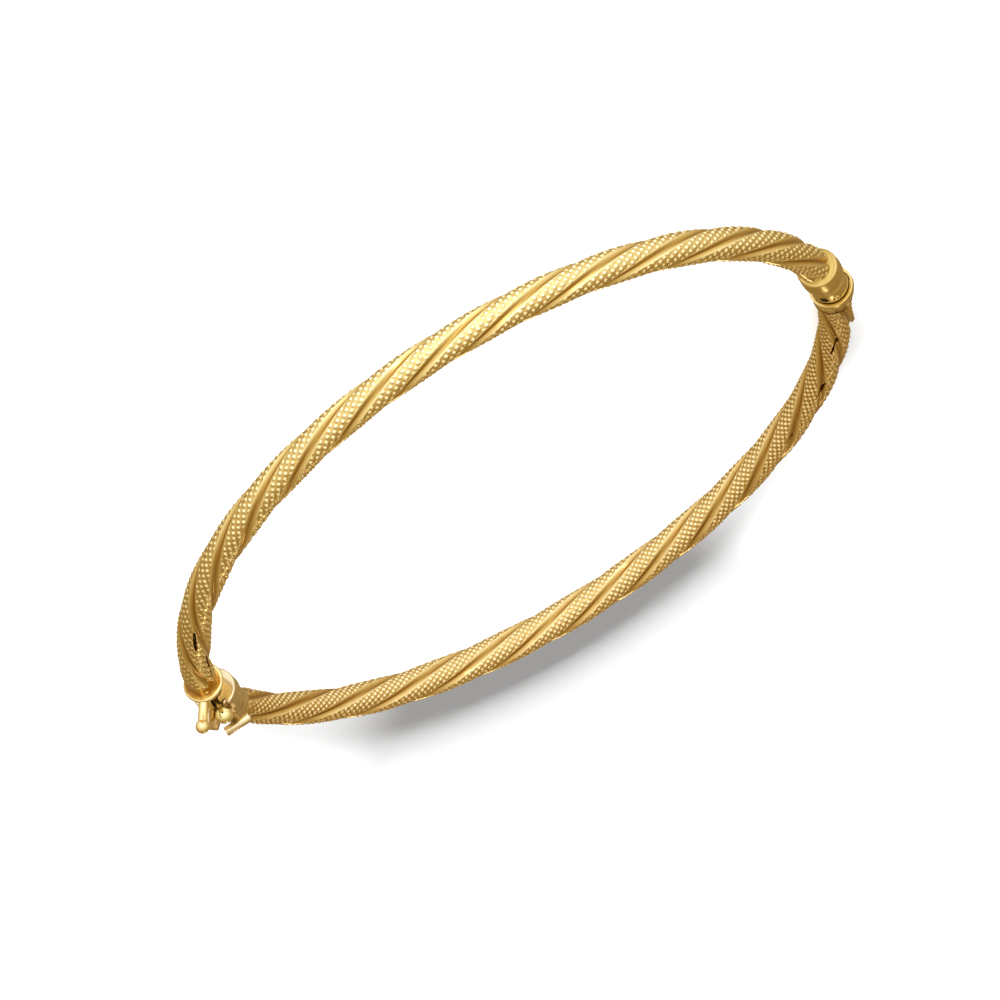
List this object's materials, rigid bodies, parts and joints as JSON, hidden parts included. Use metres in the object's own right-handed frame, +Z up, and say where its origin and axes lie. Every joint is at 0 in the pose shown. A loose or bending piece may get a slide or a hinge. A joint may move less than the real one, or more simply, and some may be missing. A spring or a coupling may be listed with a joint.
{
  "type": "hinged twisted bangle",
  "caption": "Oval bangle of slim hollow gold tube, fluted, beaded and twisted, in two halves that open on a pinned hinge and close with a box and tongue clasp.",
  "frame": {"origin": "middle of the wrist opening, on the surface that the bangle lies on", "axes": "+Z up, through the wrist opening; +X along the long axis of the oval, from the hinge to the clasp; the half with the clasp box is on the +Y side"},
  "size_m": [0.0709, 0.0578, 0.0062],
  "materials": {
    "beaded_gold": "satin, finely beaded lobes between smooth flutes",
    "polished_gold": "smooth, softly polished"
  },
  "bodies": {
    "tongue_half": {"tongue_arm": "beaded_gold", "clasp_cup": "polished_gold", "clasp_tongue": "polished_gold", "hinge_knuckle": "polished_gold", "hinge_pin": "polished_gold"},
    "box_half": {"box_arm": "beaded_gold", "clasp_box": "polished_gold", "hinge_cup": "polished_gold"}
  },
  "joints": [
    {"name": "hinge_open", "type": "hinge", "parent": "tongue_half", "child": "box_half", "pos_m": [-0.03272, 0.00166, 0.00207], "axis": [0, 0, 1], "range_deg": [0, 45]}
  ]
}
